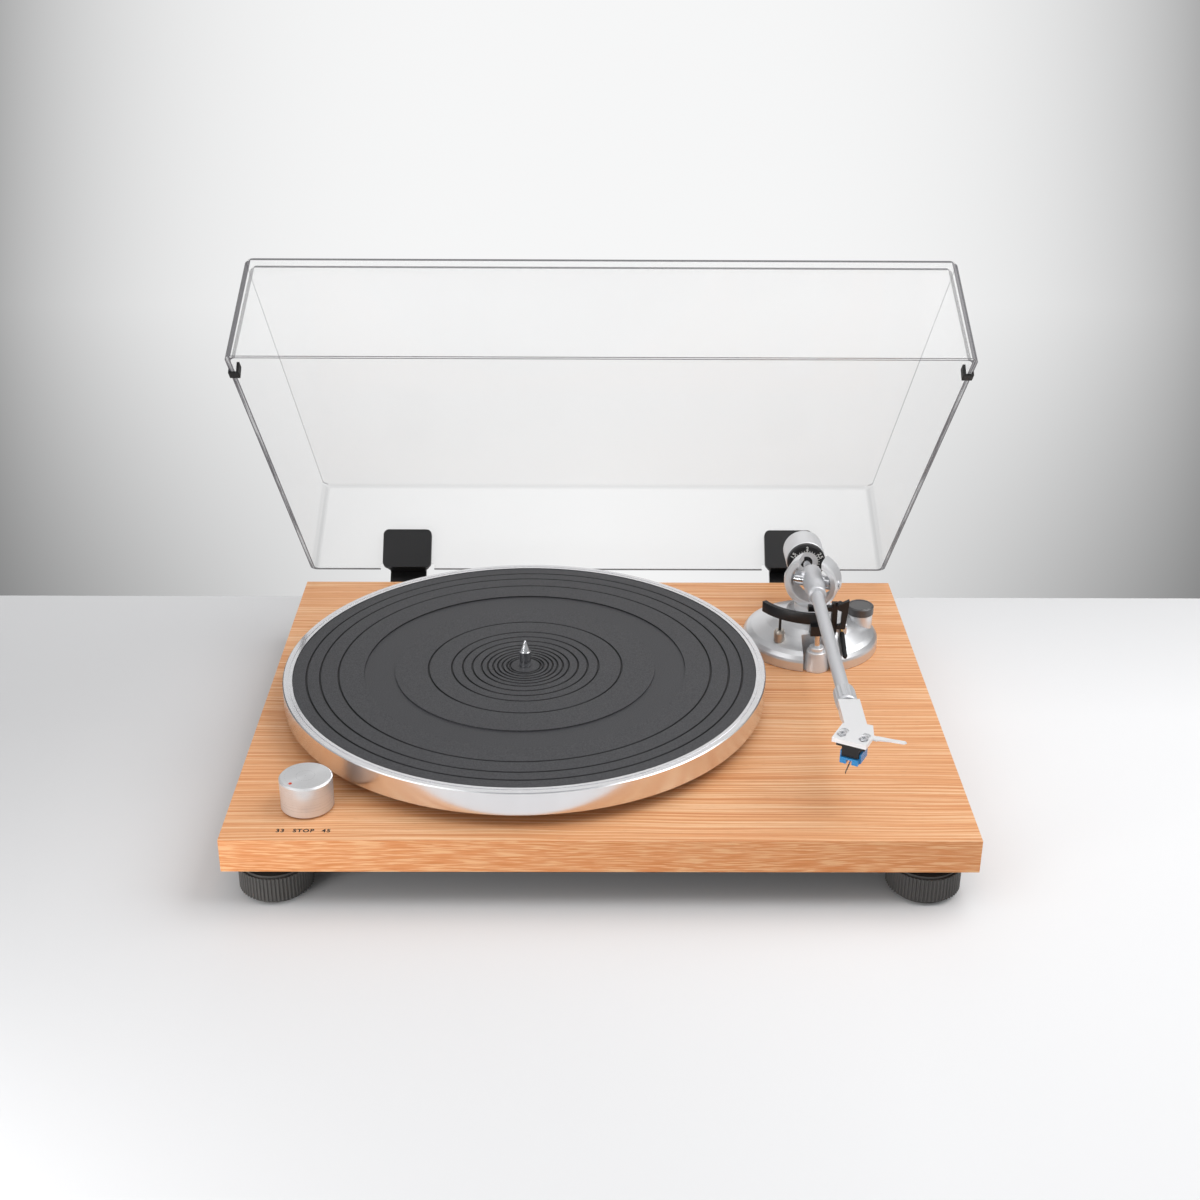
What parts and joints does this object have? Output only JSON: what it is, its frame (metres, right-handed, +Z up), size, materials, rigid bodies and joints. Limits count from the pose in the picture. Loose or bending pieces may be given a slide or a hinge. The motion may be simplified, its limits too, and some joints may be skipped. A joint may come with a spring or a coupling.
{
  "type": "turntable record player",
  "caption": "Belt-drive record player: veneered plinth, metal platter with rubber mat, balanced tonearm with cueing lift, and hinged clear dust cover.",
  "frame": {"origin": "on the table, midway between the sides, and midway between the plinth's front edge and the back of the open dust cover", "axes": "+Z up, front of the plinth towards -Y, +X to the right seen from the front"},
  "size_m": [0.42, 0.3908, 0.3221],
  "materials": {
    "wood_veneer": "satin open-grain veneer",
    "turned_aluminium": "fine turned",
    "satin_aluminium": "satin",
    "bright_steel": "polished",
    "motor_steel": "plain",
    "brass": "turned",
    "bronze_bush": "satin",
    "mat_rubber": "matt moulded",
    "belt_rubber": "matt",
    "foot_plastic": "satin moulded",
    "bumper_rubber": "matt",
    "black_plastic": "satin moulded",
    "black_screws": "blackened",
    "insert_plastic": "moulded",
    "circuit_board": "solder mask",
    "mark_paint": "paint",
    "stylus_blue": "moulded",
    "clear_acrylic": "clear polished"
  },
  "bodies": {
    "chassis": {"plinth": "wood_veneer", "bottom_cover": "black_plastic", "case_screws": "black_screws", "rear_panel": "black_plastic", "rca_jacks": "brass", "rca_inserts": "insert_plastic", "ground_terminal": "bright_steel", "power_inlet": "black_plastic", "circuit_board": "circuit_board", "motor": "motor_steel", "deck_screws": "bright_steel", "drive_belt": "belt_rubber", "bearing_housing": "turned_aluminium", "bearing_bush": "brass", "speed_selector": "black_plastic", "tonearm_base": "satin_aluminium", "yaw_bearing": "brass", "lift_cylinder": "satin_aluminium", "lift_guide": "bronze_bush", "arm_rest": "black_plastic", "hinge_brackets": "black_plastic", "hinge_pins": "bright_steel"},
    "platter": {"platter": "turned_aluminium", "spindle": "bright_steel", "platter_mat": "mat_rubber"},
    "pulley": {"motor_pulley": "brass", "motor_shaft": "bright_steel"},
    "speed_knob": {"speed_knob": "satin_aluminium", "knob_mark": "mark_paint"},
    "arm_yoke": {"gimbal_ring": "satin_aluminium", "tilt_screws": "bright_steel"},
    "arm": {"arm_hub": "satin_aluminium", "arm_tube": "satin_aluminium", "tilt_shaft": "bright_steel", "counterweight_shaft": "bright_steel"},
    "weight_carriage": {"weight_sleeve": "black_plastic"},
    "counterweight": {"counterweight": "satin_aluminium"},
    "force_dial": {"force_dial": "black_plastic"},
    "collar": {"headshell_collar": "satin_aluminium"},
    "headshell": {"headshell": "satin_aluminium", "finger_lift": "satin_aluminium", "cartridge": "black_plastic", "cartridge_screws": "bright_steel", "stylus": "stylus_blue"},
    "lift": {"lift_arc": "black_plastic", "lift_piston": "bright_steel"},
    "cue_lever": {"cue_lever": "brass", "lever_sleeve": "bumper_rubber"},
    "rest_clip": {"rest_clip": "black_plastic"},
    "antiskate_knob": {"antiskate_knob": "black_plastic"},
    "output_switch": {"output_switch": "black_plastic"},
    "dust_cover": {"dust_cover": "clear_acrylic", "hinge_covers": "black_plastic", "lid_bumpers": "bumper_rubber"},
    "foot_front_left": {"foot_front_left": "foot_plastic"},
    "foot_front_right": {"foot_front_right": "foot_plastic"},
    "foot_rear_left": {"foot_rear_left": "foot_plastic"},
    "foot_rear_right": {"foot_rear_right": "foot_plastic"}
  },
  "joints": [
    {"name": "platter_spin", "type": "hinge", "parent": "chassis", "child": "platter", "pos_m": [-0.0466, -0.03273, 0.0445], "axis": [0, 0, -1], "continuous": true},
    {"name": "pulley_spin", "type": "hinge", "parent": "chassis", "child": "pulley", "pos_m": [-0.11063, 0.04922, 0.0445], "axis": [0, 0, -1], "continuous": true},
    {"name": "speed_select", "type": "hinge", "parent": "chassis", "child": "speed_knob", "pos_m": [-0.1656, -0.16083, 0.0445], "axis": [0, 0, 1], "range_deg": [0, 80]},
    {"name": "arm_swing", "type": "hinge", "parent": "chassis", "child": "arm_yoke", "pos_m": [0.1426, 0.04977, 0.0445], "axis": [0, 0, -1], "range_deg": [0, 50]},
    {"name": "arm_tilt", "type": "hinge", "parent": "arm_yoke", "child": "arm", "pos_m": [0.1426, 0.04977, 0.0875], "axis": [-0.9272, 0.3746, 0], "range_deg": [-1.25, 4]},
    {"name": "weight_travel", "type": "slide", "parent": "arm", "child": "weight_carriage", "axis": [0, -1, 0], "range_m": [-0.004, 0.004]},
    {"name": "weight_turn", "type": "hinge", "parent": "weight_carriage", "child": "counterweight", "pos_m": [0.1426, 0.09877, 0.084], "axis": [0, -1, 0], "range_deg": [-720, 720]},
    {"name": "dial_turn", "type": "hinge", "parent": "counterweight", "child": "force_dial", "pos_m": [0.1426, 0.08677, 0.084], "axis": [0, -1, 0], "continuous": true},
    {"name": "collar_turn", "type": "hinge", "parent": "arm", "child": "collar", "pos_m": [0.1426, -0.11023, 0.0875], "axis": [0, -1, 0], "range_deg": [0, 30]},
    {"name": "headshell_pull", "type": "slide", "parent": "arm", "child": "headshell", "axis": [0, -1, 0], "range_m": [0, 0.014]},
    {"name": "lever_raise", "type": "hinge", "parent": "chassis", "child": "cue_lever", "pos_m": [0.1595, 0.02417, 0.0655], "axis": [-1, 0, 0], "range_deg": [0, 20]},
    {"name": "lift_travel", "type": "slide", "parent": "chassis", "child": "lift", "axis": [0, 0, 1], "range_m": [0, 0.00161]},
    {"name": "clip_turn", "type": "hinge", "parent": "chassis", "child": "rest_clip", "pos_m": [0.157, 0.02017, 0.084], "axis": [0, -1, 0], "range_deg": [0, 219]},
    {"name": "antiskate_turn", "type": "hinge", "parent": "chassis", "child": "antiskate_knob", "pos_m": [0.175, 0.04517, 0.0655], "axis": [0, 0, -1], "range_deg": [0, 270]},
    {"name": "switch_slide", "type": "slide", "parent": "chassis", "child": "output_switch", "axis": [1, 0, 0], "range_m": [0, 0.004]},
    {"name": "cover_close", "type": "hinge", "parent": "chassis", "child": "dust_cover", "pos_m": [0, 0.14417, 0.0255], "axis": [1, 0, 0], "range_deg": [0, 46.1]},
    {"name": "foot_front_left_turn", "type": "hinge", "parent": "chassis", "child": "foot_front_left", "pos_m": [-0.184, -0.17383, 0.0145], "axis": [0, 0, 1], "range_deg": [-720, 720]},
    {"name": "foot_front_right_turn", "type": "hinge", "parent": "chassis", "child": "foot_front_right", "pos_m": [0.184, -0.17383, 0.0145], "axis": [0, 0, 1], "range_deg": [-720, 720]},
    {"name": "foot_rear_left_turn", "type": "hinge", "parent": "chassis", "child": "foot_rear_left", "pos_m": [-0.184, 0.11417, 0.0145], "axis": [0, 0, 1], "range_deg": [-720, 720]},
    {"name": "foot_rear_right_turn", "type": "hinge", "parent": "chassis", "child": "foot_rear_right", "pos_m": [0.184, 0.11417, 0.0145], "axis": [0, 0, 1], "range_deg": [-720, 720]}
  ],
  "couplings": [
    {"joint": "pulley_spin", "follows": "platter_spin", "ratio": 14},
    {"joint": "weight_travel", "follows": "weight_turn", "m_per_rad": 0.0003183},
    {"joint": "lift_travel", "follows": "lever_raise", "m_per_rad": 0.0046}
  ]
}
